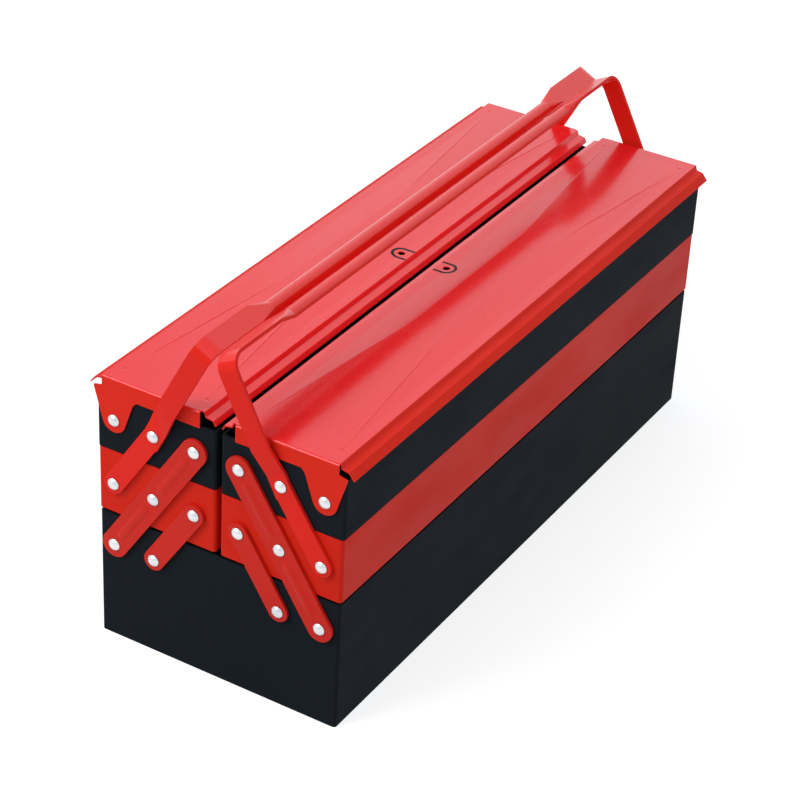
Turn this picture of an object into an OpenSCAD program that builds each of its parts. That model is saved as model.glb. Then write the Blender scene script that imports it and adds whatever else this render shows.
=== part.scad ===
// Cantilever tool box with two folding banks of trays, pressed lids and strip handles.
// Millimetres. Origin at the bottom centre. +Y runs along the length, +X is the right
// bank, +Z is up. The front end, at -Y, is the one with the lower Y value.

/* [Box body] */
// Width of the base tray across the outside walls
body_w = 200; // [180:1:240]
// Length of all the trays over their end walls
body_l = 530; // [400:1:620]
// Height of the base tray
base_h = 104.4; // [85:0.1:130]
// Height of each middle tray
tray_h = 50.9; // [46:0.1:60]
// Height of each upper tray
upper_h = 46.9; // [43:0.1:47]
// Gap between the base rim and the bottom of the middle trays
base_gap = 2.6; // [1:0.1:4]
// Gap between the middle trays and the upper trays
tray_gap = 0.6; // [0.5:0.1:1.5]
// Gap between the left and right trays on the centre line
centre_gap = 4; // [3:0.1:8]
// How far each middle tray stands out past the base wall
mid_out = 0.5; // [0:0.1:1]
// How far each upper tray stands out past the base wall
upper_out = 1; // [0:0.1:1.2]
// Sheet steel thickness of trays and lids
sheet_t = 1; // [0.8:0.1:1.2]
// Outside radius of the upright tray corners
corner_r = 2.5; // [2:0.1:4]
// Depth of the folded hem around each tray rim
hem_h = 5; // [3:0.5:8]
// Extra thickness of the folded hem
hem_t = 1; // [0.6:0.1:1.5]

/* [Links] */
// Distance of the inner pivot column from the centre line
col_inner = 18.2; // [17:0.1:22]
// Sideways step from one pivot column to the next
col_step = 33.8; // [31:0.1:38]
// Drop of the pivots in the base below its rim
pivot_drop = 23; // [18:0.1:28]
// Width of the long links
link_w = 20.5; // [18:0.5:23]
// Width of the short links
short_w = 16; // [14:0.5:20]
// Thickness of the link and handle strip
strip_t = 2.5; // [2:0.1:3]
// Gap between the tray end walls and the links
link_gap = 0.5; // [0.4:0.1:1]
// Height of the pressed ribs on the long links
rib_h = 0.9; // [0.4:0.1:1.4]
// Width of the pressed ribs
rib_w = 8.4; // [5:0.1:11]

/* [Rivets] */
// Shank radius of every rivet
pin_r = 2.5; // [2:0.1:3]
// Radial clearance of the moving strips on the shanks
pin_fit = 0.06; // [0.03:0.01:0.09]
// Radius of the domed rivet heads
head_r = 4.8; // [4:0.1:5.5]
// Height of the domed rivet heads
head_h = 2.4; // [1.5:0.1:3]
// Gap between a strip and the rivet head over it
head_gap = 0.3; // [0.3:0.05:0.5]
// Radius of the closed rivet ends inside the trays
tail_r = 4.2; // [3.5:0.1:5]
// Height of the closed rivet ends
tail_h = 1.2; // [0.8:0.1:2]

/* [Lids] */
// Height of the lid border above the upper tray rim
lid_rise = 12.5; // [12:0.1:14]
// Drop of the step walls from the lid top to the side ledges
step_h = 3.6; // [3:0.1:5]
// How far the step walls lean outwards
step_run = 1.4; // [0.8:0.1:2]
// Width of the outer side ledge
ledge_out_w = 5.4; // [4:0.1:6]
// Width of the inner side ledge
ledge_in_w = 5.8; // [4:0.1:6.5]
// Fall of each ledge from its step to its lip
ledge_fall = 1; // [0.4:0.1:1.5]
// Depth of the outer lip below the ledge
lip_out_h = 5.2; // [3:0.1:5.5]
// How far the outer lip flares outwards
lip_out_run = 4.2; // [3:0.1:5]
// Depth of the inner lip below the ledge
lip_in_h = 3.6; // [2:0.1:5]
// How far the inner lip flares towards the centre line
lip_in_run = 1.8; // [1:0.1:3]
// Setback of the inner lips from the edges of the centre gap
lip_back = 0.8; // [0.3:0.1:2]
// Gap between the upper tray end wall and the lid end flange
flange_gap = 0.5; // [0.4:0.1:0.7]
// Setback of the end flange from the inner step
flange_back = 2.6; // [1:0.1:4]
// Depth of the end flange below the lid top
flange_h = 13.2; // [11:0.1:14]
// Radius of the ear around the hinge rivet
ear_r = 9.6; // [8:0.1:11]
// Height of the hipped panel pressed up in each lid
hip_h = 1.4; // [0.6:0.1:2]
// Inset of the hipped panel from the sides of the lid top
hip_in = 8; // [7:0.5:14]
// Length of the flat crown on the hipped panel
crown_l = 160; // [100:5:240]
// Width of the flat crown on the hipped panel
crown_w = 27; // [20:1:36]
// Radius of the padlock holes
lock_r = 2.8; // [2.4:0.1:3]
// Distance of the padlock hole from the lid inner step
lock_in = 7.6; // [7:0.1:8]
// Depth of the small dimples at the corners of the hipped panel
dimple_h = 0.5; // [0.2:0.1:0.7]
// Outside radius of the folds into the end flanges
fold_r = 1.8; // [1.4:0.1:2.2]

/* [Handles] */
// Width of the handle strip
hand_w = 15.5; // [13:0.5:18.5]
// Lean of the handle arms above the upper rivets, from level
arm_lean = 62.6; // [61:0.1:67]
// Gap between the two grips where they meet over the centre line
grip_gap = 0.6; // [0.5:0.1:2]
// How far the arms are joggled out to pass over the lid flanges
joggle = 5; // [2.2:0.1:6]
// Length along the arm over which it is joggled
jog_l = 21; // [12:0.5:24]
// Inside radius of the bends at the ends of the grips
bend_r = 10; // [6:0.5:16]
// Length of flat strip left at each end of the grip
flat_l = 52; // [25:1:70]
// Length over which the strip edges are rolled down
roll_l = 18; // [15:1:40]
// Outside radius of the rolled grip
grip_r = 5.8; // [4.6:0.1:6.2]
// Depth of the straight sides of the rolled grip
grip_leg = 1.2; // [0.5:0.1:3]

/* [Hidden] */
$fn = 64;
eps = 0.01;
half_w = body_w / 2;
half_l = body_l / 2;
half_gap = centre_gap / 2;
// Levels of the trays
mid_z = base_h + base_gap;
row_rise = tray_h + tray_gap;
upper_z = mid_z + row_rise;
rim_z = upper_z + upper_h;
// Pivot rows a, b, c from the bottom and pivot columns 1, 2, 3 from the outside
za = base_h - pivot_drop;
zb = za + row_rise;
zc = zb + row_rise;
x3 = col_inner;
x2 = x3 + col_step;
x1 = x2 + col_step;
// The trays' end panels take in the round corners and the hems
seam_y = half_l - max(corner_r, sheet_t + hem_t);
link_step = sqrt(col_step * col_step + row_rise * row_rise);
link_lean = atan2(row_rise, -col_step);
// Stack heights outwards from the tray end walls
link_face = link_gap + strip_t;
link_stack = link_face + head_gap;
ear_stack = flange_gap + sheet_t + head_gap;
high_in = link_gap + joggle;
high_out = high_in + strip_t;
cap_r = (head_r * head_r + head_h * head_h) / (2 * head_h);
// Lid levels and edges, right bank
top_z = rim_z + lid_rise;
flat_z = top_z - sheet_t / 2;
lid_in = half_gap + lip_back;
ledge_in = lid_in + lip_in_run;
step_in = ledge_in + ledge_in_w + step_run;
lid_out = half_w + upper_out + 5.6;
ledge_out = lid_out - lip_out_run;
step_out = ledge_out - ledge_out_w - step_run;
lip_z = top_z - step_h - ledge_fall - lip_out_h;
flange_z = top_z - flange_h;
flange_in = step_in + flange_back;
flange_out = half_l + flange_gap + sheet_t;
flange_tip = ledge_out;
lid_side_l = body_l - 1;
fold_z = top_z - 2 * fold_r - 0.4;
dimple_r = 6;
lock_x = step_in + lock_in;
hip_mid = (step_in + step_out) / 2;
hip_w = step_out - step_in - 2 * hip_in;
hip_l = body_l - 28;
// Handle heights measured along the arm from the upper rivet
grip_x = hand_w / 2 * sin(arm_lean) + strip_t / 2 * cos(arm_lean) + grip_gap / 2;
grip_s = (x2 - grip_x) / cos(arm_lean);
grip_top = grip_s + strip_t / 2;
jog_low = head_r + 4;
jog_high = jog_low + jog_l;
// The rolled grip keeps its inner side on the inner edge of the strip
grip_off = grip_r - hand_w / 2;
roll_y = half_l - flat_l - roll_l;
flat_y = half_l - flat_l;

// Repeats a front end shape at the rear end as well
module both_ends() {
  children();
  mirror([0, 1, 0]) children();
}

// Turns a right bank shape into the left bank one
module left_bank() {
  mirror([1, 0, 0]) children();
}

// Rectangle from x_low to x_high, centred along the length, with round corners
module plan_shape(x_low, x_high, length, r) {
  union() {
    translate([x_low + r, -length / 2]) square([x_high - x_low - 2 * r, length]);
    translate([x_low, -length / 2 + r]) square([x_high - x_low, length - 2 * r]);
    for (px = [x_low + r, x_high - r])
      for (py = [-length / 2 + r, length / 2 - r])
        translate([px, py]) circle(r = r);
  }
}

// Open sheet tray with a folded hem around the rim
module open_tray(x_low, x_high, z_low, height) {
  in_r = corner_r - sheet_t;
  lip = sheet_t + hem_t;
  translate([0, 0, z_low]) difference() {
    linear_extrude(height) plan_shape(x_low, x_high, body_l, corner_r);
    translate([0, 0, sheet_t])
      linear_extrude(height - hem_h - sheet_t)
        plan_shape(x_low + sheet_t, x_high - sheet_t, body_l - 2 * sheet_t, in_r);
    translate([0, 0, height - hem_h - eps])
      linear_extrude(hem_h + 2 * eps)
        plan_shape(x_low + lip, x_high - lip, body_l - 2 * lip, in_r);
  }
}

// Folded sheet of a tray: the floor and both long sides, between the end panels
module tray_body(x_low, x_high, z_low, height) {
  intersection() {
    open_tray(x_low, x_high, z_low, height);
    translate([x_low - 1, -seam_y, z_low - 1]) cube([x_high - x_low + 2, 2 * seam_y, height + 2]);
  }
}

// Front end panel of a tray, turned round the corners up to the seams with the body
module tray_end(x_low, x_high, z_low, height) {
  intersection() {
    open_tray(x_low, x_high, z_low, height);
    translate([x_low - 1, -half_l - 1, z_low - 1])
      cube([x_high - x_low + 2, half_l + 1 - seam_y, height + 2]);
  }
}

// Hole through a front end wall at one pivot
module wall_hole(x, z) {
  translate([x, -half_l + 5, z]) rotate([90, 0, 0]) cylinder(r = pin_r, h = 10);
}

// Hole for a rivet shank to turn in, cut from the front end wall outwards
module strip_hole(x, z) {
  translate([x, -half_l + 5, z])
    rotate([90, 0, 0]) cylinder(r = pin_r + pin_fit, h = 20);
}

// Domed rivet at the front end; stack is the height of its head over the wall
module rivet(x, z, stack) {
  translate([x, -half_l + sheet_t, z]) rotate([90, 0, 0]) {
    cylinder(r = pin_r, h = sheet_t + stack + 0.5);
    translate([0, 0, -tail_h]) cylinder(r = tail_r, h = tail_h);
    translate([0, 0, sheet_t + stack]) intersection() {
      cylinder(r = head_r, h = head_h);
      translate([0, 0, head_h - cap_r]) sphere(r = cap_r);
    }
  }
}

// Strip with full round ends, standing in front of the end wall.
// It starts at x, z and runs for length along the link lean.
module flat_strip(x, z, length, width) {
  translate([x, -half_l - link_gap, z]) rotate([90, 0, 0]) linear_extrude(strip_t)
    rotate(link_lean) union() {
      circle(r = width / 2);
      translate([0, -width / 2]) square([length, width]);
      translate([length, 0]) circle(r = width / 2);
    }
}

// Rounded rib pressed up on a long link between two rivets
module rib(x, z) {
  bow_r = (rib_w * rib_w / 4 + rib_h * rib_h) / (2 * rib_h);
  inset = head_r + 4 + rib_w / 2;
  sunk = bow_r - rib_h;
  translate([x, -half_l - link_face, z]) rotate([90, 0, 0]) rotate([0, 0, link_lean])
    intersection() {
      translate([0, -rib_w, -strip_t / 2]) cube([link_step, 2 * rib_w, strip_t / 2 + rib_h + 1]);
      translate([0, 0, -sunk]) union() {
        translate([inset, 0, 0]) rotate([0, 90, 0]) cylinder(r = bow_r, h = link_step - 2 * inset);
        translate([inset, 0, 0]) sphere(r = bow_r);
        translate([link_step - inset, 0, 0]) sphere(r = bow_r);
      }
    }
}

// Long link of the right bank at the front end
module long_link() {
  color([0.78, 0.11, 0.09]) difference() {
    union() {
      flat_strip(x1, za, 2 * link_step, link_w);
      rib(x1, za);
      rib(x2, zb);
    }
    strip_hole(x1, za);
    strip_hole(x2, zb);
    strip_hole(x3, zc);
  }
}

// Short link of the right bank at the front end
module short_link() {
  color([0.78, 0.11, 0.09]) difference() {
    flat_strip(x2, za, link_step, short_w);
    strip_hole(x2, za);
    strip_hole(x3, zb);
  }
}

// Base tray, full width: floor and sides
module base_tray() {
  color([0.12, 0.14, 0.16]) tray_body(-half_w, half_w, 0, base_h);
}

// Front end panel of the base tray, with the lowest row of rivet holes
module base_end() {
  color([0.12, 0.14, 0.16]) difference() {
    tray_end(-half_w, half_w, 0, base_h);
    for (x = [-x1, -x2, x2, x1]) wall_hole(x, za);
  }
}

module base_rivets() {
  color([0.85, 0.86, 0.88]) both_ends() for (x = [-x1, -x2, x2, x1])
    rivet(x, za, link_stack);
}

// Middle tray of the right bank: floor and sides
module mid_tray() {
  color([0.78, 0.11, 0.09]) tray_body(half_gap, half_w + mid_out, mid_z, tray_h);
}

// Front end panel of the right middle tray
module mid_end() {
  color([0.78, 0.11, 0.09]) difference() {
    tray_end(half_gap, half_w + mid_out, mid_z, tray_h);
    for (x = [x1, x2, x3]) wall_hole(x, zb);
  }
}

module mid_rivets() {
  color([0.85, 0.86, 0.88]) both_ends() for (x = [x1, x2, x3])
    rivet(x, zb, link_stack);
}

// Upper tray of the right bank: floor and sides
module upper_tray() {
  color([0.12, 0.14, 0.16]) tray_body(half_gap, half_w + upper_out, upper_z, upper_h);
}

// Front end panel of the right upper tray
module upper_end() {
  color([0.12, 0.14, 0.16]) difference() {
    tray_end(half_gap, half_w + upper_out, upper_z, upper_h);
    for (x = [x1, x2, x3]) wall_hole(x, zc);
  }
}

module upper_rivets() {
  color([0.85, 0.86, 0.88]) both_ends() {
    rivet(x1, zc, ear_stack);
    rivet(x2, zc, link_stack);
    rivet(x3, zc, link_stack);
  }
}

// Corner piece that fills the inside of a fold of radius r at px, pz
module fold_corner(px, pz, side_x, side_z, r) {
  translate([px, pz]) scale([side_x, side_z]) difference() {
    translate([-eps, -eps]) square(r + eps);
    translate([r, r]) circle(r = r);
  }
}

// Straight run of sheet between two points on its middle line
module sheet_run(from, to) {
  run = to - from;
  translate(from) rotate(atan2(run[1], run[0])) translate([0, -sheet_t / 2])
    square([norm(run), sheet_t]);
}

// One stepped side of the lid section: step wall, falling ledge and flared lip.
// side is 1 where the lip points to +X and -1 where it points to -X.
module lid_side(x_step, ledge_w, lip_run, lip_h, side) {
  top = [x_step, flat_z];
  low = top + [side * step_run, -step_h];
  edge = low + [side * ledge_w, -ledge_fall];
  sheet_run(top, low);
  sheet_run(low, edge);
  sheet_run(edge, edge + [side * lip_run, -lip_h]);
  for (bend = [top, low, edge]) translate(bend) circle(r = sheet_t / 2);
}

// Cross section of the right lid: top, steps, side ledges and lips
module lid_section() {
  translate([step_in, top_z - sheet_t]) square([step_out - step_in, sheet_t]);
  lid_side(step_in, ledge_in_w, lip_in_run, lip_in_h, -1);
  lid_side(step_out, ledge_out_w, lip_out_run, lip_out_h, 1);
}

// Outline of the end flange with its notch and hinge ear
module flange_shape() {
  notch_x = x1 - 2 * ear_r;
  union() {
    translate([flange_in, flange_z]) square([notch_x - flange_in, top_z - flange_z]);
    polygon([[notch_x - eps, top_z], [notch_x - eps, flange_z], [notch_x + 3, flange_z - 3],
      [x1 - ear_r * 0.947, zc - ear_r * 0.32], [x1 + ear_r * 0.959, zc - ear_r * 0.283],
      [flange_tip, lip_z - 1.5], [flange_tip, lip_z], [step_out, lip_z + 1.6],
      [step_out, top_z]]);
    translate([x1, zc]) circle(r = ear_r);
  }
}

// Solid hip with a flat crown, raised over the lid top by level
module hip_solid(level) {
  intersection() {
    translate([hip_mid, hip_l / 2, level]) rotate([90, 0, 0]) linear_extrude(hip_l)
      polygon([[-hip_w / 2, -1], [hip_w / 2, -1], [hip_w / 2, 0], [crown_w / 2, hip_h],
        [-crown_w / 2, hip_h], [-hip_w / 2, 0]]);
    translate([hip_mid - hip_w / 2, 0, level]) rotate([90, 0, 90]) linear_extrude(hip_w)
      polygon([[-hip_l / 2, -1], [hip_l / 2, -1], [hip_l / 2, 0], [crown_l / 2, hip_h],
        [-crown_l / 2, hip_h], [-hip_l / 2, 0]]);
  }
}

// Side view of the lid top with the folds down to the end flanges
module fold_section() {
  difference() {
    union() {
      translate([-flange_out, fold_z]) square([2 * flange_out, top_z - fold_r - fold_z]);
      translate([fold_r - flange_out, fold_z])
        square([2 * (flange_out - fold_r), top_z - fold_z]);
      for (side = [-1, 1])
        translate([side * (flange_out - fold_r), top_z - fold_r]) circle(r = fold_r);
    }
    difference() {
      translate([sheet_t - flange_out, fold_z - 1])
        square([2 * (flange_out - sheet_t), top_z - sheet_t - fold_z + 1]);
      for (side = [-1, 1])
        fold_corner(side * (flange_out - sheet_t), top_z - sheet_t, -side, -1, fold_r - sheet_t);
    }
  }
}

// Right lid, down to just below the folds into its end flanges
module lid() {
  color([0.86, 0.12, 0.1]) difference() {
    union() {
      translate([0, lid_side_l / 2, 0]) rotate([90, 0, 0])
        linear_extrude(lid_side_l) lid_section();
      translate([flange_in, 0, 0]) rotate([90, 0, 90])
        linear_extrude(step_out - flange_in) fold_section();
      hip_solid(top_z);
    }
    translate([0, 0, -sheet_t]) hip_solid(top_z);
    for (side = [-1, 1])
      for (end = [-1, 1])
        translate([hip_mid + side * hip_w / 2, end * hip_l / 2, top_z + dimple_r - dimple_h])
          sphere(r = dimple_r);
    translate([lock_x, 0, lip_z]) cylinder(r = lock_r, h = 20);
  }
}

// End flange of the right lid at the front end, with its notch and hinge ear
module lid_end() {
  color([0.86, 0.12, 0.1]) difference() {
    translate([0, -half_l - flange_gap, 0]) rotate([90, 0, 0])
      linear_extrude(sheet_t) intersection() {
        flange_shape();
        translate([0, zc - 2 * ear_r]) square([2 * half_w, fold_z - zc + 2 * ear_r]);
      }
    strip_hole(x1, zc);
  }
}

// Side view of the handle, Y across and the arm direction up
module bail_side() {
  end_out = half_l + high_out;
  end_in = half_l + high_in;
  out_r = bend_r + strip_t;
  difference() {
    union() {
      translate([-end_out, jog_high]) square([2 * end_out, grip_top - out_r - jog_high]);
      translate([out_r - end_out, jog_high])
        square([2 * (end_out - out_r), grip_top - jog_high]);
      for (side = [-1, 1])
        translate([side * (end_out - out_r), grip_top - out_r]) circle(r = out_r);
    }
    translate([-end_in, jog_high - 1])
      square([2 * end_in, grip_top - out_r - jog_high + 1]);
    translate([out_r - end_out, jog_high - 1])
      square([2 * (end_out - out_r), grip_top - strip_t - jog_high + 1]);
    for (side = [-1, 1])
      translate([side * (end_out - out_r), grip_top - out_r]) circle(r = bend_r);
  }
  for (side = [-1, 1]) {
    polygon([[side * (half_l + link_gap), jog_low], [side * (half_l + link_face), jog_low],
      [side * end_out, jog_high], [side * end_in, jog_high]]);
    translate([side * (half_l + link_gap + strip_t / 2) - strip_t / 2, -jog_low])
      square([strip_t, 2 * jog_low]);
  }
}

// Section of the rolled grip, across the strip and up the arm
module grip_outer() {
  translate([grip_off, grip_top - grip_r]) circle(r = grip_r);
  translate([grip_off - grip_r, grip_top - grip_r - grip_leg]) square([2 * grip_r, grip_leg]);
}

module grip_inner() {
  r = grip_r - strip_t * 0.7;
  translate([grip_off, grip_top - grip_r]) circle(r = r);
  translate([grip_off - r, grip_top - grip_r - grip_leg - 5]) square([2 * r, grip_leg + 5]);
}

// One end of the grip where the flat strip edges are rolled down
module roll_end() {
  difference() {
    hull() {
      translate([-hand_w / 2, -flat_y - 0.1, grip_top - strip_t])
        cube([hand_w, 0.1, strip_t]);
      translate([0, -roll_y, 0]) rotate([90, 0, 0]) linear_extrude(0.1) intersection() {
        grip_outer();
        translate([-20, grip_top - grip_r - grip_leg]) square([40, grip_r + grip_leg]);
      }
    }
    hull() {
      translate([-hand_w / 2 + 1, -flat_y - 1, grip_top - strip_t - 1])
        cube([hand_w - 2, 0.1, 0.5]);
      translate([0, -roll_y + 0.1, 0]) rotate([90, 0, 0]) linear_extrude(0.2) grip_inner();
    }
  }
}

// Bail of the right bank, standing on the upper rivets
module bail() {
  translate([x2, 0, zc]) rotate([0, arm_lean - 90, 0]) {
    difference() {
      rotate([90, 0, 90]) linear_extrude(hand_w, center = true) bail_side();
      translate([-hand_w, -flat_y, grip_top - 2 * strip_t])
        cube([2 * hand_w, 2 * flat_y, 4 * strip_t]);
    }
    translate([0, roll_y, 0]) rotate([90, 0, 0]) linear_extrude(2 * roll_y) difference() {
      intersection() {
        grip_outer();
        translate([-20, grip_top - grip_r - grip_leg]) square([40, grip_r + grip_leg]);
      }
      grip_inner();
    }
    both_ends() roll_end();
  }
}

// Handle of the right bank: bail and the two lower arms in one piece
module handle() {
  color([0.86, 0.12, 0.1]) difference() {
    union() {
      bail();
      both_ends() flat_strip(x1, zb, link_step, hand_w);
    }
    both_ends() {
      strip_hole(x1, zb);
      strip_hole(x2, zc);
    }
  }
}

base_tray();
base_end();  // base_end_front
mirror([0, 1, 0]) base_end();  // base_end_rear
base_rivets();
left_bank() mid_tray();  // mid_tray_left
mid_tray();  // mid_tray_right
left_bank() mid_end();  // mid_end_left_front
left_bank() mirror([0, 1, 0]) mid_end();  // mid_end_left_rear
mid_end();  // mid_end_right_front
mirror([0, 1, 0]) mid_end();  // mid_end_right_rear
left_bank() mid_rivets();  // mid_rivets_left
mid_rivets();  // mid_rivets_right
left_bank() upper_tray();  // upper_tray_left
upper_tray();  // upper_tray_right
left_bank() upper_end();  // upper_end_left_front
left_bank() mirror([0, 1, 0]) upper_end();  // upper_end_left_rear
upper_end();  // upper_end_right_front
mirror([0, 1, 0]) upper_end();  // upper_end_right_rear
left_bank() upper_rivets();  // upper_rivets_left
upper_rivets();  // upper_rivets_right
left_bank() lid();  // lid_left
lid();  // lid_right
left_bank() lid_end();  // lid_end_left_front
left_bank() mirror([0, 1, 0]) lid_end();  // lid_end_left_rear
lid_end();  // lid_end_right_front
mirror([0, 1, 0]) lid_end();  // lid_end_right_rear
left_bank() long_link();  // long_link_left_front
left_bank() mirror([0, 1, 0]) long_link();  // long_link_left_rear
long_link();  // long_link_right_front
mirror([0, 1, 0]) long_link();  // long_link_right_rear
left_bank() short_link();  // short_link_left_front
left_bank() mirror([0, 1, 0]) short_link();  // short_link_left_rear
short_link();  // short_link_right_front
mirror([0, 1, 0]) short_link();  // short_link_right_rear
left_bank() handle();  // handle_left
handle();  // handle_right
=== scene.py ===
"""Looks of a closed cantilever tool box in red and blue-black powder coat.

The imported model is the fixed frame. Every sheet, link, handle and rivet of it is
dressed with a welded copy that has broken edges, and painted with procedural finishes.
Lengths are in metres, +Y runs along the box from the front end, +Z is up.
"""

from __future__ import annotations

import logging
import math
from dataclasses import dataclass
from enum import Enum

import bmesh
import bpy
from mathutils import Matrix, Vector


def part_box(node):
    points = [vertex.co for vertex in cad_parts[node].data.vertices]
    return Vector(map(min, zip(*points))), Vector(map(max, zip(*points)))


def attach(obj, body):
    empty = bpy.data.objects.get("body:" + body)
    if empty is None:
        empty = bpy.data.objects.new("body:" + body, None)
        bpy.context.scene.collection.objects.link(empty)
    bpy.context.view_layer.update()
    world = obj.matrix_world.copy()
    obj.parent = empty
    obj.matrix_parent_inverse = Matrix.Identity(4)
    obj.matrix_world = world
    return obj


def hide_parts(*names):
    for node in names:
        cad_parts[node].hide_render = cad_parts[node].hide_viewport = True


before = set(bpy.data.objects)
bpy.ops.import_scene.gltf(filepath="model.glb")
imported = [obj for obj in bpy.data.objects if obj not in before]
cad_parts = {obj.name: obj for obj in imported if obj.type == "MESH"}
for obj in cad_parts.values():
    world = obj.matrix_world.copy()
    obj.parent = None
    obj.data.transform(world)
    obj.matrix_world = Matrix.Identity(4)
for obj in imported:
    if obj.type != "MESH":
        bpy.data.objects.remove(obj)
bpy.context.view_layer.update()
MM = 0.001

log = logging.getLogger("tool_box")


class Bank(Enum):
    """The two folding banks of trays; the value is the side of X that each is on."""

    LEFT = -1
    RIGHT = 1

    @property
    def label(self) -> str:
        """The bank's word in node and body names."""
        return self.name.lower()


class End(Enum):
    """The two ends of the box; the value is the side of Y that each is on."""

    FRONT = -1
    REAR = 1

    @property
    def label(self) -> str:
        """The end's word in node names."""
        return self.name.lower()


class Slot(Enum):
    """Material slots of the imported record."""

    RED = "red_paint"
    BLACK = "black_paint"
    RIVET = "rivet_metal"


class Shader:
    """Short calls for building a node tree, used by materials and groups alike."""

    def __init__(self, tree: bpy.types.NodeTree) -> None:
        """Keeps the tree that the calls add to.

        Args:
            tree: An emptied material, world or group node tree.
        """
        self.tree = tree

    def node(self, kind: str, **settings: object) -> bpy.types.Node:
        """Adds a node.

        Args:
            kind: Node type name.
            settings: Attributes to set on the node.

        Returns:
            The new node.
        """
        made = self.tree.nodes.new(kind)
        for name, value in settings.items():
            setattr(made, name, value)
        return made

    def put(self, value: object, socket: bpy.types.NodeSocket) -> None:
        """Links a socket to an input, or sets a plain value on it.

        Args:
            value: An output socket or a number, vector or colour.
            socket: The input that takes it.
        """
        if isinstance(value, bpy.types.NodeSocket):
            self.tree.links.new(value, socket)
        else:
            socket.default_value = value

    def math(self, operation: str, *values: object, clamp: bool = False) -> bpy.types.NodeSocket:
        """Adds a Math node.

        Args:
            operation: The node's operation.
            values: Its inputs in order, sockets or numbers.
            clamp: Whether the result is held between 0 and 1.

        Returns:
            The result socket.
        """
        made = self.node("ShaderNodeMath", operation=operation, use_clamp=clamp)
        for value, socket in zip(values, made.inputs):
            self.put(value, socket)
        return made.outputs[0]

    def noise(self, vector: object, scale: float, detail: float = 2.0,
              roughness: float = 0.5) -> bpy.types.NodeSocket:
        """Adds a Noise Texture.

        Args:
            vector: Where it is read.
            scale: Waves per metre.
            detail: Number of finer layers.
            roughness: Strength of the finer layers.

        Returns:
            The noise value, about 0.5 on average.
        """
        made = self.node("ShaderNodeTexNoise")
        self.put(vector, made.inputs["Vector"])
        made.inputs["Scale"].default_value = scale
        made.inputs["Detail"].default_value = detail
        made.inputs["Roughness"].default_value = roughness
        return made.outputs["Fac"]

    def spread(self, value: object, low: float, high: float, to_low: float = 0.0,
               to_high: float = 1.0) -> bpy.types.NodeSocket:
        """Adds a smooth Map Range that turns low..high into to_low..to_high.

        Args:
            value: The input value.
            low: Where the range starts.
            high: Where the range ends.
            to_low: Result at and below low.
            to_high: Result at and above high.

        Returns:
            The result socket.
        """
        made = self.node("ShaderNodeMapRange", interpolation_type="SMOOTHSTEP")
        for number, socket in zip((value, low, high, to_low, to_high), made.inputs):
            self.put(number, socket)
        return made.outputs[0]

    def blend(self, factor: object, first: object, second: object) -> bpy.types.NodeSocket:
        """Mixes two colours.

        Args:
            factor: Share of the second colour.
            first: Colour at factor 0.
            second: Colour at factor 1.

        Returns:
            The mixed colour.
        """
        made = self.node("ShaderNodeMix", data_type="RGBA")
        self.put(factor, made.inputs["Factor"])
        self.put(first, made.inputs[6])
        self.put(second, made.inputs[7])
        return made.outputs[2]

    def place(self) -> bpy.types.NodeSocket:
        """The point on the piece in Object coordinates."""
        return self.node("ShaderNodeTexCoord").outputs["Object"]

    def effect(self, group: bpy.types.NodeTree, **values: object) -> bpy.types.Node:
        """Places a shared group.

        Args:
            group: The group's tree.
            values: Its inputs by name, with spaces as underscores.

        Returns:
            The group node.
        """
        made = self.node("ShaderNodeGroup", node_tree=group)
        for name, value in values.items():
            self.put(value, made.inputs[name.replace("_", " ")])
        return made


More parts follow.
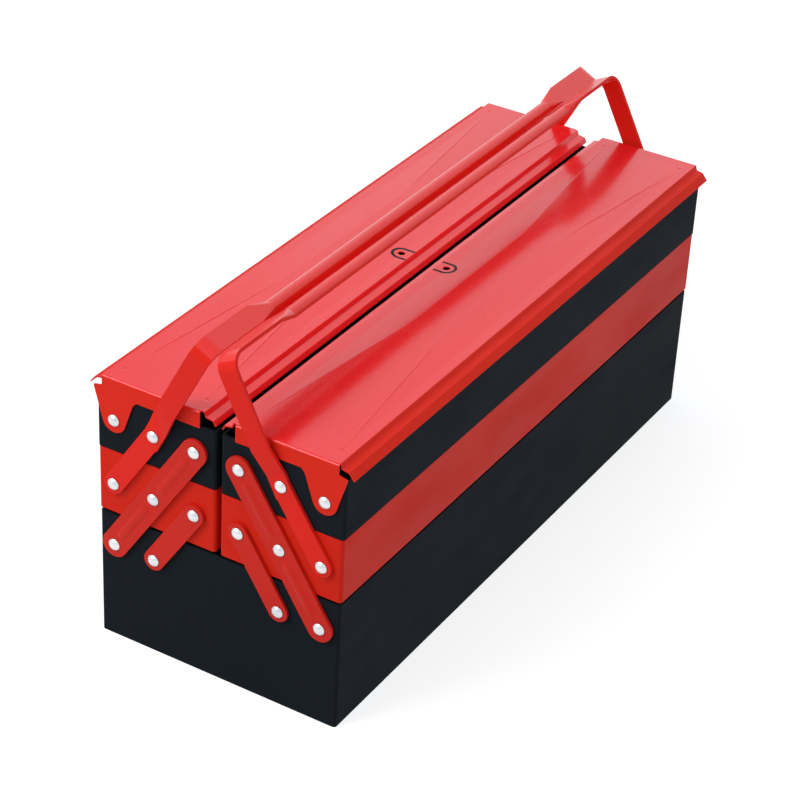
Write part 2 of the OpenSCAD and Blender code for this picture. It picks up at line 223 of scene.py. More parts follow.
class Effects:
    """Shader groups that several finishes share, each built once.

    The values below are waves per metre of the noises, except SHEET_SHARE, the height of the
    sheet's waviness against the peel's, and GRAIN_SHARE, the part of the fine grain in the rub.
    """

    PEEL_WAVES = 520.0
    SHEET_WAVES = 11.0
    SHEET_SHARE = 14.0
    PATCH_WAVES = 38.0
    GRAIN_WAVES = 900.0
    GRAIN_SHARE = 0.28
    SMEAR_WAVES = 42.0
    SPECK_WAVES = 1500.0
    SHADE_WAVES = 7.0

    def __init__(self) -> None:
        """Builds the groups."""
        self.coat_texture = self._coat_texture()
        self.edge_rub = self._edge_rub()
        self.handling = self._handling()

    @staticmethod
    def _group(name: str, inputs: tuple[tuple[str, str, object], ...],
               outputs: tuple[tuple[str, str], ...]
               ) -> tuple[Shader, bpy.types.Node, bpy.types.Node]:
        """Makes an empty group with its sockets.

        Args:
            name: The group's name.
            inputs: Name, socket type and default of each input.
            outputs: Name and socket type of each output.

        Returns:
            The shader calls for the group, its input node and its output node.
        """
        tree = bpy.data.node_groups.new(name, "ShaderNodeTree")
        for label, kind, value in inputs:
            made = tree.interface.new_socket(label, in_out="INPUT", socket_type=kind)
            if value is not None:
                made.default_value = value
        for label, kind in outputs:
            tree.interface.new_socket(label, in_out="OUTPUT", socket_type=kind)
        shader = Shader(tree)
        return shader, shader.node("NodeGroupInput"), shader.node("NodeGroupOutput")

    def _coat_texture(self) -> bpy.types.NodeTree:
        """Height of a powder coat: fine orange peel over a slow waviness of the sheet.

        Returns:
            The group.
        """
        shader, given, out = self._group(
            "coat_texture",
            (("Vector", "NodeSocketVector", None), ("Waviness", "NodeSocketFloat", 1.0)),
            (("Height", "NodeSocketFloat"),))
        peel = shader.noise(given.outputs["Vector"], self.PEEL_WAVES, 1.0, 0.4)
        wave = shader.noise(given.outputs["Vector"], self.SHEET_WAVES, 1.0, 0.5)
        wave = shader.math("MULTIPLY", wave, given.outputs["Waviness"])
        wave = shader.math("MULTIPLY", wave, self.SHEET_SHARE)
        shader.put(shader.math("ADD", peel, wave), out.inputs["Height"])
        return shader.tree

    def _edge_rub(self) -> bpy.types.NodeTree:
        """Mask of paint that is thinned and rubbed along the broken edges.

        Returns:
            The group.
        """
        shader, given, out = self._group(
            "edge_rub",
            (("Vector", "NodeSocketVector", None), ("Edge", "NodeSocketFloat", 0.0),
             ("Amount", "NodeSocketFloat", 0.5)),
            (("Mask", "NodeSocketFloat"), ("Thin", "NodeSocketFloat")))
        patches = shader.noise(given.outputs["Vector"], self.PATCH_WAVES, 3.0, 0.65)
        grain = shader.noise(given.outputs["Vector"], self.GRAIN_WAVES, 2.0, 0.6)
        both = shader.math("ADD", shader.math("MULTIPLY", patches, 1.0 - self.GRAIN_SHARE),
                           shader.math("MULTIPLY", grain, self.GRAIN_SHARE))
        less = shader.math("MULTIPLY", given.outputs["Amount"], 0.3)
        start = shader.math("SUBTRACT", 0.78, less)
        worn = shader.spread(both, start, shader.math("ADD", start, 0.05))
        shader.put(shader.math("MULTIPLY", worn, given.outputs["Edge"]), out.inputs["Mask"])
        thin = shader.math("MULTIPLY", given.outputs["Edge"], shader.spread(patches, 0.3, 0.7, 0.4))
        shader.put(thin, out.inputs["Thin"])
        return shader.tree

    def _handling(self) -> bpy.types.NodeTree:
        """Faint smears, settled dust and pin-point specks of a box that has been handled.

        Returns:
            The group.
        """
        shader, given, out = self._group(
            "handling",
            (("Vector", "NodeSocketVector", None),),
            (("Smear", "NodeSocketFloat"), ("Speck", "NodeSocketFloat"),
             ("Shade", "NodeSocketFloat")))
        stretched = shader.node("ShaderNodeMapping")
        stretched.inputs["Scale"].default_value = (1.0, 0.35, 1.0)
        shader.put(given.outputs["Vector"], stretched.inputs["Vector"])
        smear = shader.noise(stretched.outputs["Vector"], self.SMEAR_WAVES, 4.0, 0.62)
        shader.put(shader.spread(smear, 0.38, 0.72), out.inputs["Smear"])
        speck = shader.noise(given.outputs["Vector"], self.SPECK_WAVES, 1.0, 0.5)
        shader.put(shader.spread(speck, 0.76, 0.82), out.inputs["Speck"])
        shade = shader.noise(given.outputs["Vector"], self.SHADE_WAVES, 2.0, 0.5)
        shader.put(shader.spread(shade, 0.3, 0.7), out.inputs["Shade"])
        return shader.tree


@dataclass(frozen=True)
class PowderCoat:
    """Powder coat over sheet steel.

    Attributes:
        name: The material's name.
        colour: Linear colour of the coat.
        deep: Linear colour where the coat lies a little thicker.
        bare: Linear colour of what shows where the coat is rubbed.
        roughness: Roughness of a clean coat.
        specular: Specular level of the coat.
        gloss: Weight of the clear layer on top.
        peel: Depth of the orange peel, in metres.
        wear: How much of the edges is rubbed.
        gloss_roughness: Roughness of the clear layer.
        waviness: How much of the sheet's own waviness shows.
        thin_share: How far the coat pales where it is thin on an edge.
        speck_share: Strength of the dark specks.
        smear_roughness: Roughness that a smear adds.
        rub_roughness: Roughness that a rubbed edge adds.
    """

    name: str
    colour: tuple[float, float, float]
    deep: tuple[float, float, float]
    bare: tuple[float, float, float]
    roughness: float
    specular: float
    gloss: float
    peel: float
    wear: float
    gloss_roughness: float = 0.14
    waviness: float = 1.0
    thin_share: float = 0.35
    speck_share: float = 0.25
    smear_roughness: float = 0.10
    rub_roughness: float = 0.2

    def build(self, effects: Effects) -> bpy.types.Material:
        """Makes the material.

        Args:
            effects: The shared groups.

        Returns:
            The new material.
        """
        material = bpy.data.materials.new(self.name)
        material.use_nodes = True
        material.node_tree.nodes.clear()
        shader = Shader(material.node_tree)
        place = shader.place()
        edge = shader.node("ShaderNodeAttribute", attribute_name=Skin.EDGE).outputs["Fac"]
        marks = shader.effect(effects.handling, Vector=place)
        rub = shader.effect(effects.edge_rub, Vector=place, Edge=edge, Amount=self.wear)
        peel = shader.effect(effects.coat_texture, Vector=place, Waviness=self.waviness)

        pale = [min(1.0, 1.25 * c + 0.004) for c in self.colour]
        dark = [0.55 * c for c in self.deep]
        thin = shader.math("MULTIPLY", rub.outputs["Thin"], self.thin_share)
        speck = shader.math("MULTIPLY", marks.outputs["Speck"], self.speck_share)
        colour = shader.blend(marks.outputs["Shade"], (*self.colour, 1.0), (*self.deep, 1.0))
        colour = shader.blend(thin, colour, (*pale, 1.0))
        colour = shader.blend(rub.outputs["Mask"], colour, (*self.bare, 1.0))
        colour = shader.blend(speck, colour, (*dark, 1.0))
        colour, ink = self.overprint(shader, place, colour)
        roughness = shader.math("MULTIPLY_ADD", marks.outputs["Smear"], self.smear_roughness,
                                self.roughness)
        roughness = shader.math("MULTIPLY_ADD", rub.outputs["Mask"], self.rub_roughness,
                                roughness)

        bump = shader.node("ShaderNodeBump")
        bump.inputs["Strength"].default_value = 1.0
        bump.inputs["Distance"].default_value = self.peel
        shader.put(peel.outputs["Height"], bump.inputs["Height"])

        paint = shader.node("ShaderNodeBsdfPrincipled")
        shader.put(colour, paint.inputs["Base Color"])
        shader.put(roughness, paint.inputs["Roughness"])
        shader.put(bump.outputs["Normal"], paint.inputs["Normal"])
        paint.inputs["Specular IOR Level"].default_value = self.specular
        if ink is None:
            paint.inputs["Coat Weight"].default_value = self.gloss
        else:
            shader.put(shader.math("MULTIPLY_ADD", ink, -self.gloss, self.gloss),
                       paint.inputs["Coat Weight"])
        paint.inputs["Coat Roughness"].default_value = self.gloss_roughness
        shader.put(paint.outputs[0], shader.node("ShaderNodeOutputMaterial").inputs["Surface"])
        return material

    def overprint(self, shader: Shader, place: bpy.types.NodeSocket,
                  colour: bpy.types.NodeSocket) -> tuple[bpy.types.NodeSocket, object]:
        """Colour with anything printed over the coat, and its mask; a plain coat has none."""
        return colour, None


@dataclass(frozen=True)
class PrintedCoat(PowderCoat):
    """Powder coat of the lids, with the black ring printed round both padlock holes.

    Attributes:
        ring_x: Distance of the centres of the ring's round ends from the centre line.
        ring_r: Radius of the round ends, to the middle of the line.
        ring_w: Width of the printed line.
        ring_blur: Half the width over which its edges fade.
        ring_from: Distance from the centre line at which the printing starts.
        ring_over: Height over which the printing lies, half way through the sheet.
        ink: Linear colour of the ink.
    """

    ring_x: float = 19.4 * MM
    ring_r: float = 6.9 * MM
    ring_w: float = 2.3 * MM
    ring_blur: float = 0.1 * MM
    ring_from: float = 11.9 * MM
    ring_over: float = 217.5 * MM
    ink: tuple[float, float, float] = (0.010, 0.001, 0.002)

    def overprint(self, shader: Shader, place: bpy.types.NodeSocket,
                  colour: bpy.types.NodeSocket) -> tuple[bpy.types.NodeSocket, object]:
        """Draws the ring, a slot shape across both lids, from the Object coordinates.

        Args:
            shader: The material's node calls.
            place: Object coordinates.
            colour: Colour of the coat.

        Returns:
            Colour of the coat with the ink over it, and the mask of the ink.
        """
        axes = shader.node("ShaderNodeSeparateXYZ")
        shader.put(place, axes.inputs[0])
        out = shader.math("ABSOLUTE", axes.outputs["X"])
        past = shader.math("MAXIMUM", shader.math("SUBTRACT", out, self.ring_x), 0.0)
        reach = shader.math("SQRT", shader.math(
            "ADD", shader.math("MULTIPLY", past, past),
            shader.math("MULTIPLY", axes.outputs["Y"], axes.outputs["Y"])))
        off_line = shader.math("ABSOLUTE", shader.math("SUBTRACT", reach, self.ring_r))
        half = 0.5 * self.ring_w
        line = shader.spread(off_line, half - self.ring_blur, half + self.ring_blur, 1.0, 0.0)
        line = shader.math("MULTIPLY", line, shader.math("GREATER_THAN", out, self.ring_from))
        outside = shader.math("GREATER_THAN", axes.outputs["Z"], self.ring_over)
        line = shader.math("MULTIPLY", line, outside)
        return shader.blend(line, colour, (*self.ink, 1.0)), line


@dataclass(frozen=True)
class RivetMetal:
    """Bright tumbled metal of the rivets, darkened at the rims of the heads as painted shade.

    Attributes:
        name: The material's name.
        colour: Linear colour of clean metal.
        dull: Linear colour of dull metal.
        rim_shade: Linear colour painted at the rims of the heads as shade.
        roughness: Roughness of clean metal.
        grain_waves: Waves per metre of the tumbled grain.
        grain_depth: Depth of the grain, in metres.
        rim_shade_share: Strength of the painted shade at the rims.
    """

    name: str
    colour: tuple[float, float, float]
    dull: tuple[float, float, float]
    rim_shade: tuple[float, float, float]
    roughness: float
    grain_waves: float = 1400.0
    grain_depth: float = 0.01 * MM
    rim_shade_share: float = 0.6

    def build(self, effects: Effects) -> bpy.types.Material:
        """Makes the material.

        Args:
            effects: The shared groups.

        Returns:
            The new material.
        """
        material = bpy.data.materials.new(self.name)
        material.use_nodes = True
        material.node_tree.nodes.clear()
        shader = Shader(material.node_tree)
        place = shader.place()
        marks = shader.effect(effects.handling, Vector=place)
        grain = shader.noise(place, self.grain_waves, 3.0, 0.6)
        rim = shader.node("ShaderNodeAttribute", attribute_name=Skin.EDGE).outputs["Fac"]
        colour = shader.blend(marks.outputs["Smear"], (*self.colour, 1.0), (*self.dull, 1.0))
        # Painted shade: the rim of each head is darkened to a grey.
        rim_shade_mask = shader.math("MULTIPLY", rim, self.rim_shade_share)
        colour = shader.blend(rim_shade_mask, colour, (*self.rim_shade, 1.0))
        roughness = shader.math("MULTIPLY_ADD", grain, 0.16, self.roughness - 0.05)
        bump = shader.node("ShaderNodeBump")
        bump.inputs["Strength"].default_value = 1.0
        bump.inputs["Distance"].default_value = self.grain_depth
        shader.put(grain, bump.inputs["Height"])
        metal = shader.node("ShaderNodeBsdfPrincipled")
        metal.inputs["Metallic"].default_value = 1.0
        shader.put(colour, metal.inputs["Base Color"])
        shader.put(roughness, metal.inputs["Roughness"])
        shader.put(bump.outputs["Normal"], metal.inputs["Normal"])
        shader.put(metal.outputs[0], shader.node("ShaderNodeOutputMaterial").inputs["Surface"])
        return material


class Paints:
    """All the finishes of the box, built once."""

    def __init__(self) -> None:
        """Builds the materials."""
        effects = Effects()
        self.lid = PrintedCoat(
            name="lid_red_gloss", colour=(0.93, 0.014, 0.018), deep=(0.89, 0.012, 0.015),
            bare=(0.42, 0.012, 0.008), roughness=0.22, specular=0.08, gloss=0.8,
            peel=0.006 * MM, wear=0.25).build(effects)
        # Darker, duller copy of the lid coat for the upright faces and the stepped edge: painted
        # shade.
        self.lid_shaded_side = PowderCoat(
            name="lid_red_flange", colour=(0.81, 0.026, 0.012), deep=(0.75, 0.023, 0.010),
            bare=(0.42, 0.012, 0.008), roughness=0.34, specular=0.07, gloss=0.0,
            peel=0.006 * MM, wear=0.25).build(effects)
        self.handle = PowderCoat(
            name="handle_red_gloss", colour=(0.88, 0.022, 0.016), deep=(0.82, 0.019, 0.013),
            bare=(0.42, 0.012, 0.008), roughness=0.24, specular=0.3, gloss=0.4,
            peel=0.006 * MM, wear=0.35).build(effects)
        # Darker, duller copy of the handle coat for the upright faces: painted shade.
        self.handle_shaded_side = PowderCoat(
            name="handle_red_side", colour=(0.84, 0.022, 0.012), deep=(0.78, 0.019, 0.011),
            bare=(0.42, 0.012, 0.008), roughness=0.3, specular=0.1, gloss=0.0,
            peel=0.006 * MM, wear=0.35).build(effects)
        self.tray_red = PowderCoat(
            name="tray_red_satin", colour=(0.73, 0.021, 0.008), deep=(0.66, 0.018, 0.007),
            bare=(0.36, 0.012, 0.008), roughness=0.4, specular=0.07, gloss=0.0,
            peel=0.008 * MM, wear=0.3).build(effects)
        self.link_red = PowderCoat(
            name="link_red_satin", colour=(0.67, 0.020, 0.010), deep=(0.61, 0.017, 0.009),
            bare=(0.36, 0.012, 0.008), roughness=0.34, specular=0.14, gloss=0.0,
            peel=0.008 * MM, wear=0.4).build(effects)
        self.tray_black = PowderCoat(
            name="tray_blue_black_satin", colour=(0.0122, 0.0160, 0.0205),
            deep=(0.0112, 0.0150, 0.0194), bare=(0.030, 0.034, 0.039), roughness=0.5,
            specular=0.012, gloss=0.0, peel=0.005 * MM, wear=0.15).build(effects)
        # The grey at the rims of the rivet heads is painted shade.
        self.rivet = RivetMetal(
            name="rivet_bright_metal", colour=(0.74, 0.74, 0.755), dull=(0.60, 0.61, 0.63),
            rim_shade=(0.20, 0.20, 0.215), roughness=0.3).build(effects)


@dataclass
class Skin:
    """A welded copy of one or more CAD nodes with broken edges, which stands for them.

    Attributes:
        name: The piece's name.
        nodes: The CAD nodes that it copies and stands for.
        body: The body that it rides on.
        slot: The record's material slot; not used.
        material: Its finish.
        edge: Width of the broken edges, in metres.
        segments: Faces across a broken edge.
        sharp: Least angle between two faces that are broken apart, in degrees.
        seams: Axis and level of each plane on which two of the nodes meet.
        dull: Darker, less glossy copy of the finish for the faces that stand upright, if they have
            one; its darker colour is painted shade.
        upright: Largest lean upwards or downwards of a face that counts as upright.
    """

    EDGE = "edge"
    WELD = 0.002 * MM
    SEAM_REACH = 0.01 * MM
    FLAT = math.radians(0.4)

    name: str
    nodes: tuple[str, ...]
    body: str
    slot: Slot
    material: bpy.types.Material
    edge: float = 0.25 * MM
    segments: int = 2
    sharp: float = 32.0
    seams: tuple[tuple[int, float], ...] = ()
    dull: bpy.types.Material | None = None
    upright: float = 0.3

    def make(self) -> bpy.types.Object:
        """Builds the piece and puts it in place of its nodes.

        Returns:
            The new object.
        """
        shell = self.welded()
        self.break_edges(shell)
        for face in shell.faces:
            face.smooth = True
        for edge in shell.edges:
            edge.smooth = edge.calc_face_angle(0.0) < math.radians(self.sharp)
        self.mark_creases(shell)
        self.share_finishes(shell)
        mesh = bpy.data.meshes.new(self.name)
        shell.to_mesh(mesh)
        shell.free()
        mesh.materials.append(self.material)
        if self.dull:
            mesh.materials.append(self.dull)
        piece = bpy.data.objects.new(self.name, mesh)
        bpy.context.scene.collection.objects.link(piece)
        weighted = piece.modifiers.new("even_normals", "WEIGHTED_NORMAL")
        weighted.keep_sharp = True
        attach(piece, self.body)
        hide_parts(*self.nodes)
        log.info("%s: %d faces on %s", self.name, len(mesh.polygons), self.body)
        return piece

    def welded(self) -> bmesh.types.BMesh:
        """Copies the nodes, welds their loose triangles and merges flat areas.

        Returns:
            The welded shell.
        """
        shell = bmesh.new()
        for node in self.nodes:
            shell.from_mesh(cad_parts[node].data)
        bmesh.ops.remove_doubles(shell, verts=shell.verts, dist=self.WELD)
        for axis, level in self.seams:
            self.open_seam(shell, axis, level)
        bmesh.ops.dissolve_limit(shell, angle_limit=self.FLAT, verts=shell.verts,
                                 edges=shell.edges, delimit=set())
        return shell

    @classmethod
    def open_seam(cls, shell: bmesh.types.BMesh, axis: int, level: float) -> None:
        """Takes out the coincident faces where two nodes meet, so that the skin is one.

        Args:
            shell: The shell to change.
            axis: Number of the axis that the seam stands across.
            level: Place of the seam on that axis.
        """
        seam = [f for f in shell.faces
                if all(abs(v.co[axis] - level) < cls.SEAM_REACH for v in f.verts)]
        bmesh.ops.delete(shell, geom=seam, context="FACES_ONLY")

    def mark_creases(self, shell: bmesh.types.BMesh) -> None:
        """Place for a pressed piece to split its shading along faint creases."""

    def share_finishes(self, shell: bmesh.types.BMesh) -> None:
        """Gives the upright faces the darker, duller copy of the finish, which paints shade on
        them; broken edges keep the gloss.

        Args:
            shell: The shell to change.
        """
        rub = shell.faces.layers.float[self.EDGE]
        for face in shell.faces:
            # Upright faces take the second material, the darker copy of the coat that paints shade
            # on them.
            face.material_index = int(bool(self.dull) and face[rub] < 0.5 and self.is_dull(face))

    def is_dull(self, face: bmesh.types.BMFace) -> bool:
        """Whether a face stands upright, and so gets the painted shade."""
        return abs(face.normal.z) < self.upright

    def break_edges(self, shell: bmesh.types.BMesh) -> None:
        """Bevels the hard edges and marks the new faces for the paint's wear.

        Args:
            shell: The shell to change.
        """
        rub = shell.faces.layers.float.new(self.EDGE)
        hard = [e for e in shell.edges
                if len(e.link_faces) == 2 and e.calc_face_angle(0.0) > math.radians(self.sharp)]
        made = bmesh.ops.bevel(shell, geom=hard, offset=self.edge, offset_type="OFFSET",
                               segments=self.segments, profile=0.5, affect="EDGES",
                               clamp_overlap=True, material=-1)
        for face in made["faces"]:
            face[rub] = 1.0


@dataclass
class LidSkin(Skin):
    """Skin of a pressed lid, whose hipped panel keeps its creases.

    Attributes:
        top: Height of the flat border that the hipped panel rises from.
        gloss_to: Distance from the centre line at which the stepped outer edge starts; beyond it
            the lid gets the darker copy with painted shade.
        crease_angle: Smallest and largest bend, in degrees, that is a crease.
    """

    top: float = 0.0
    gloss_to: float = 95.6 * MM
    crease_angle: tuple[float, float] = (0.3, 12.0)

    def is_dull(self, face: bmesh.types.BMFace) -> bool:
        """Whether a face stands upright or lies on the stepped outer edge, and so gets the painted
        shade.
        """
        return super().is_dull(face) or abs(face.calc_center_median().x) > self.gloss_to

    def mark_creases(self, shell: bmesh.types.BMesh) -> None:
        """Splits the shading along the creases of the hipped panel.

        Args:
            shell: The shell to change.
        """
        low, high = (math.radians(a) for a in self.crease_angle)
        for crease in shell.edges:
            if len(crease.link_faces) == 2 and low < crease.calc_face_angle(0.0) < high:
                around = [v.co.z for f in crease.link_faces for v in f.verts]
                crease.smooth = crease.smooth and min(around) < self.top - self.SEAM_REACH


@dataclass
class TrayStack:
    """The base tray and the two banks of trays above it.

    Attributes:
        edge: Width of the broken sheet edges.
    """

    paints: Paints
    edge: float = 0.28 * MM

    def build(self) -> None:
        """Dresses every tray."""
        self.tray("base_tray", "base_end", "base", Slot.BLACK, self.paints.tray_black)
        for bank in Bank:
            side = bank.label
            self.tray(f"mid_tray_{side}", f"mid_end_{side}", f"mid_{side}", Slot.RED,
                      self.paints.tray_red)
            self.tray(f"upper_tray_{side}", f"upper_end_{side}", f"upper_{side}", Slot.BLACK,
                      self.paints.tray_black)

    def tray(self, node: str, panel: str, body: str, slot: Slot,
             material: bpy.types.Material) -> None:
        """Dresses one tray: its folded sheet and both end panels in one skin.

        Args:
            node: Node of the folded sheet.
            panel: Name of the end panels' nodes, without the end's word.
            body: The body that the tray is.
            slot: The record's material slot.
            material: Its finish.
        """
        front, rear = f"{panel}_{End.FRONT.label}", f"{panel}_{End.REAR.label}"
        seams = ((1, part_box(front)[1].y), (1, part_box(rear)[0].y))
        Skin(f"{node}_skin", (node, front, rear), body, slot, material, edge=self.edge,
             seams=seams).make()


@dataclass
class Lids:
    """The two pressed lids with their end flanges.

    Attributes:
        edge: Width of the broken sheet edges.
        hip_rise: Height of the hipped panel over the flat border of the lid.
        hip_half: Half the length of the hipped panel.
        hip_x: Distances of its long sides from the centre line.
        crown_half: Half the length of its flat crown.
        crown_x: Distances of the crown's long sides from the centre line.
        bead_w: Width of the fine beads pressed along the four hips.
        bead_h: Half the thickness of the beads.
        bead_sink: Share of that by which their middle lies under the lid's face.
    """

    paints: Paints
    edge: float = 0.22 * MM
    hip_rise: float = 1.4 * MM
    hip_half: float = 251.0 * MM
    hip_x: tuple[float, float] = (19.8 * MM, 87.6 * MM)
    crown_half: float = 80.0 * MM
    crown_x: tuple[float, float] = (40.2 * MM, 67.2 * MM)
    bead_w: float = 1.8 * MM
    bead_h: float = 0.7 * MM
    bead_sink: float = 0.45

    def build(self) -> None:
        """Dresses both lids, each with its two end flanges in one skin."""
        for bank in Bank:
            ends = tuple(f"lid_end_{bank.label}_{end.label}" for end in End)
            seam = (2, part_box(ends[0])[1].z)
            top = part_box(f"lid_{bank.label}")[1].z - self.hip_rise
            LidSkin(f"lid_{bank.label}_skin", (f"lid_{bank.label}", *ends), f"lid_{bank.label}",
                    Slot.RED, self.paints.lid, edge=self.edge, seams=(seam,), top=top,
                    dull=self.paints.lid_shaded_side).make()
            self.beads(bank, top)

    def beads(self, bank: Bank, top: float) -> None:
        """Presses the fine beads along the hips of one lid.

        Args:
            bank: The lid's bank.
            top: Height of the flat border of the lid.
        """
        ribs = bmesh.new()
        for low_x, high_x in zip(self.hip_x, self.crown_x):
            for end in End:
                foot = Vector((bank.value * low_x, end.value * self.hip_half, top))
                head = Vector((bank.value * high_x, end.value * self.crown_half,
                               top + self.hip_rise))
                self.bead(ribs, foot, head)
        bmesh.ops.recalc_face_normals(ribs, faces=ribs.faces)
        for face in ribs.faces:
            face.smooth = True
        mesh = bpy.data.meshes.new(f"lid_beads_{bank.label}")
        ribs.to_mesh(mesh)
        ribs.free()
        mesh.materials.append(self.paints.lid)
        piece = bpy.data.objects.new(mesh.name, mesh)
        bpy.context.scene.collection.objects.link(piece)
        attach(piece, f"lid_{bank.label}")
        log.info("%s: %d faces", piece.name, len(mesh.polygons))

    def bead(self, ribs: bmesh.types.BMesh, foot: Vector, head: Vector) -> None:
        """Adds one bead: a long flat swelling that dies out at both ends.

        Args:
            ribs: The mesh to add to.
            foot: Its outer end, on the lid.
            head: Its inner end, on the lid.
        """
        along = (head - foot).normalized()
        across = along.cross(Vector((0.0, 0.0, 1.0))).normalized()
        up = across.cross(along)
        middle = foot.lerp(head, 0.5) - up * (self.bead_sink * self.bead_h)
        turn = Matrix((across, up, along)).transposed().to_4x4()
        size = Matrix.Diagonal((0.5 * self.bead_w, self.bead_h, 0.5 * (head - foot).length, 1.0))
        bmesh.ops.create_uvsphere(ribs, u_segments=16, v_segments=32, radius=1.0,
                                  matrix=Matrix.Translation(middle) @ turn @ size)


@dataclass
class Linkage:
    """The long and short links at both ends of the box.

    Attributes:
        edge: Width of the broken strip edges.
    """

    paints: Paints
    edge: float = 0.45 * MM

    def build(self) -> None:
        """Dresses the links."""
        for bank in Bank:
            for end in End:
                for kind in ("long_link", "short_link"):
                    node = f"{kind}_{bank.label}_{end.label}"
                    Skin(f"{node}_skin", (node,), f"{kind}s_{bank.label}", Slot.RED,
                         self.paints.link_red, edge=self.edge).make()


@dataclass
class Handles:
    """The two strip handles.

    Attributes:
        edge: Width of the broken strip edges.
    """

    paints: Paints
    edge: float = 0.45 * MM

    def build(self) -> None:
        """Dresses the handles."""
        for bank in Bank:
            node = f"handle_{bank.label}"
            Skin(f"{node}_skin", (node,), node, Slot.RED, self.paints.handle, edge=self.edge,
                 dull=self.paints.handle_shaded_side, upright=0.6).make()


@dataclass
class Rivets:
    """The domed rivets of every tray.

    Attributes:
        edge: Width of the broken edge at the rim of each head.
    """

    paints: Paints
    edge: float = 0.3 * MM

    def build(self) -> None:
        """Dresses the rivets."""
        for node, body in self.sets():
            Skin(f"{node}_skin", (node,), body, Slot.RIVET, self.paints.rivet,
                 edge=self.edge, sharp=24.0).make()

    @staticmethod
    def sets() -> list[tuple[str, str]]:
        """The rivet nodes, each with its body."""
        found = [("base_rivets", "base")]
        for bank in Bank:
            found.append((f"mid_rivets_{bank.label}", f"mid_{bank.label}"))
            found.append((f"upper_rivets_{bank.label}", f"upper_{bank.label}"))
        return found


@dataclass(frozen=True)
class SoftLamp:
    """A square soft lamp that faces the box.

    Attributes:
        name: The lamp's name.
        power: Watts.
        size: Side of its face.
        spot: Where it hangs.
        tint: Linear colour of its light.
        aim: Height of the point over the origin that it faces.
    """

    name: str
    power: float
    size: float
    spot: tuple[float, float, float]
    tint: tuple[float, float, float]
    aim: float = 0.1

    def hang(self) -> None:
        """Makes the lamp and turns it to the box."""
        light = bpy.data.lights.new(self.name, "AREA")
        light.color = self.tint
        light.energy = self.power
        light.size = self.size
        lamp = bpy.data.objects.new(self.name, light)
        away = Vector(self.spot) - Vector((0.0, 0.0, self.aim))
        turn = away.to_track_quat("Z", "Y").to_matrix().to_4x4()
        lamp.matrix_world = Matrix.Translation(self.spot) @ turn
        bpy.context.scene.collection.objects.link(lamp)


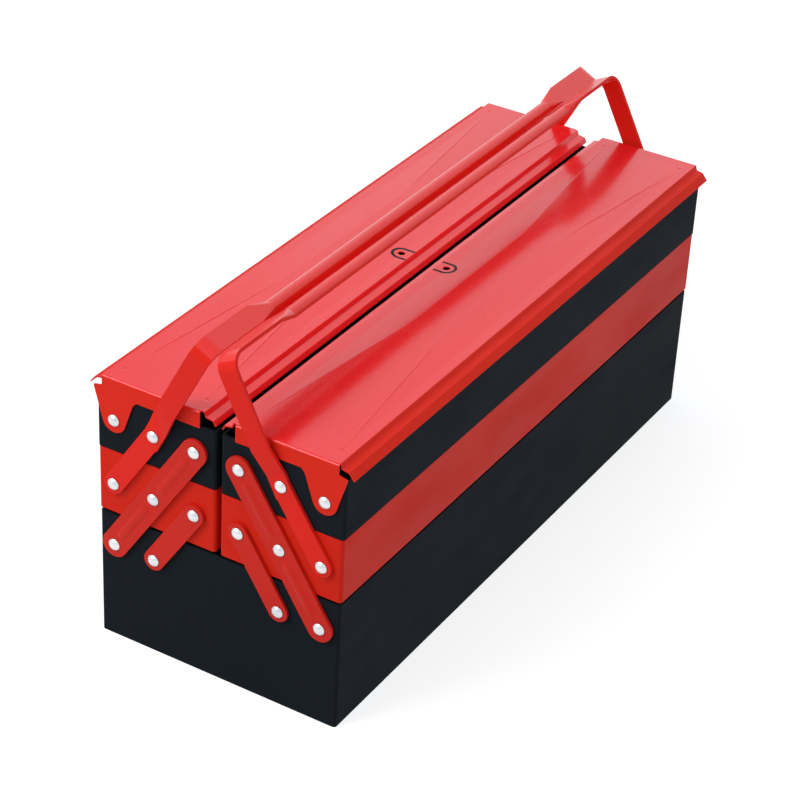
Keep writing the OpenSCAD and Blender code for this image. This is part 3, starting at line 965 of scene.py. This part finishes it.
@dataclass
class Studio:
    """Pale floor, soft lamps and the camera.

    Attributes:
        floor_size: Side of the floor.
        floor_colour: Linear colour of the floor.
        floor_glow: What the floor shows of its own to the camera and to gloss.
        sky: Linear colour of the surround, a little cool.
        surround: Strength of the surround where it isn't seen.
        key_tint: Linear colour of the key lamp, a little warm.
        back_tint: Linear colour of the broad lamp behind the box, a little cool.
        eye: Place of the camera.
        heading: Turn of the view from +Y towards -X, in degrees.
        pitch: How far the view looks down, in degrees.
        roll: Turn of the picture about the view, in degrees.
        focal: Focal length, in image widths.
        centre: Where the view axis meets the image, as shares of its width from the middle.
        sensor: Width of the camera's sensor, in millimetres.
    """

    floor_size: float = 8.0
    floor_colour: tuple[float, float, float] = (0.55, 0.55, 0.555)
    floor_glow: float = 0.7
    sky: tuple[float, float, float] = (0.93, 0.965, 1.0)
    surround: float = 0.58
    key_tint: tuple[float, float, float] = (1.0, 0.975, 0.94)
    back_tint: tuple[float, float, float] = (0.86, 0.92, 1.0)
    eye: tuple[float, float, float] = (0.79839, -1.42424, 1.11723)
    heading: float = 29.8543
    pitch: float = 32.2351
    roll: float = 3.0929
    focal: float = 3.14385
    centre: tuple[float, float] = (0.00806, 0.01027)
    sensor: float = 36.0

    def build(self) -> None:
        """Makes the whole studio."""
        self.floor()
        self.world()
        self.lamps()
        self.camera()

    def floor(self) -> None:
        """Lays the floor, which looks white and keeps the box's shadow."""
        sheet = bmesh.new()
        bmesh.ops.create_grid(sheet, x_segments=1, y_segments=1, size=0.5 * self.floor_size)
        mesh = bpy.data.meshes.new("floor")
        sheet.to_mesh(mesh)
        sheet.free()
        material = bpy.data.materials.new("floor_white")
        material.use_nodes = True
        material.node_tree.nodes.clear()
        shader = Shader(material.node_tree)
        matt = shader.node("ShaderNodeBsdfDiffuse")
        matt.inputs["Color"].default_value = (*self.floor_colour, 1.0)
        glow = shader.node("ShaderNodeEmission")
        shader.put(shader.math("MULTIPLY", self.seen(shader), self.floor_glow),
                   glow.inputs["Strength"])
        both = shader.node("ShaderNodeAddShader")
        shader.put(matt.outputs[0], both.inputs[0])
        shader.put(glow.outputs[0], both.inputs[1])
        shader.put(both.outputs[0], shader.node("ShaderNodeOutputMaterial").inputs["Surface"])
        mesh.materials.append(material)
        floor = bpy.data.objects.new("floor", mesh)
        bpy.context.scene.collection.objects.link(floor)

    @staticmethod
    def seen(shader: Shader) -> bpy.types.NodeSocket:
        """1 for rays from the camera, a reflection or glass, else 0."""
        path = shader.node("ShaderNodeLightPath").outputs
        seen = shader.math("MAXIMUM", path["Is Camera Ray"], path["Is Glossy Ray"])
        return shader.math("MAXIMUM", seen, path["Is Transmission Ray"])

    def world(self) -> None:
        """Sets an even surround, full bright where it is seen and pure white to the camera."""
        world = bpy.data.worlds.new("studio")
        world.use_nodes = True
        world.node_tree.nodes.clear()
        shader = Shader(world.node_tree)
        around = shader.node("ShaderNodeBackground")
        to_camera = shader.node("ShaderNodeLightPath").outputs["Is Camera Ray"]
        shader.put(shader.blend(to_camera, (*self.sky, 1.0), (1.0, 1.0, 1.0, 1.0)),
                   around.inputs["Color"])
        strength = shader.math("MULTIPLY_ADD", self.seen(shader), 1.0 - self.surround,
                               self.surround)
        shader.put(strength, around.inputs["Strength"])
        shader.put(around.outputs[0], shader.node("ShaderNodeOutputWorld").inputs["Surface"])
        bpy.context.scene.world = world

    def lamps(self) -> None:
        """Hangs the soft lamps."""
        for lamp in (SoftLamp("key", 21.0, 1.1, (-0.9, -1.35, 1.5), self.key_tint),
                     SoftLamp("fill", 4.5, 1.4, (1.7, -0.4, 1.2), self.sky),
                     SoftLamp("back", 3.0, 1.8, (-0.4, 1.7, 1.3), self.back_tint)):
            lamp.hang()

    def camera(self) -> None:
        """Places the camera at the photograph's angle."""
        lens = bpy.data.cameras.new("camera")
        lens.sensor_width = self.sensor
        lens.lens = self.focal * self.sensor
        lens.shift_x, lens.shift_y = self.centre
        lens.clip_start = 0.05
        turn = (Matrix.Rotation(math.radians(self.heading), 4, "Z")
                @ Matrix.Rotation(math.radians(90.0 - self.pitch), 4, "X")
                @ Matrix.Rotation(math.radians(self.roll), 4, "Z"))
        camera = bpy.data.objects.new("camera", lens)
        camera.matrix_world = Matrix.Translation(self.eye) @ turn
        bpy.context.scene.collection.objects.link(camera)
        bpy.context.scene.camera = camera


def main() -> None:
    """Builds the finishes, every sub-assembly and the studio."""
    logging.basicConfig(level=logging.INFO, format="%(name)s: %(message)s")
    bpy.context.scene.view_settings.view_transform = "Standard"
    paints = Paints()
    for assembly in (TrayStack(paints), Lids(paints), Linkage(paints), Handles(paints),
                     Rivets(paints)):
        assembly.build()
    Studio().build()


if __name__ == "__main__":
    main()
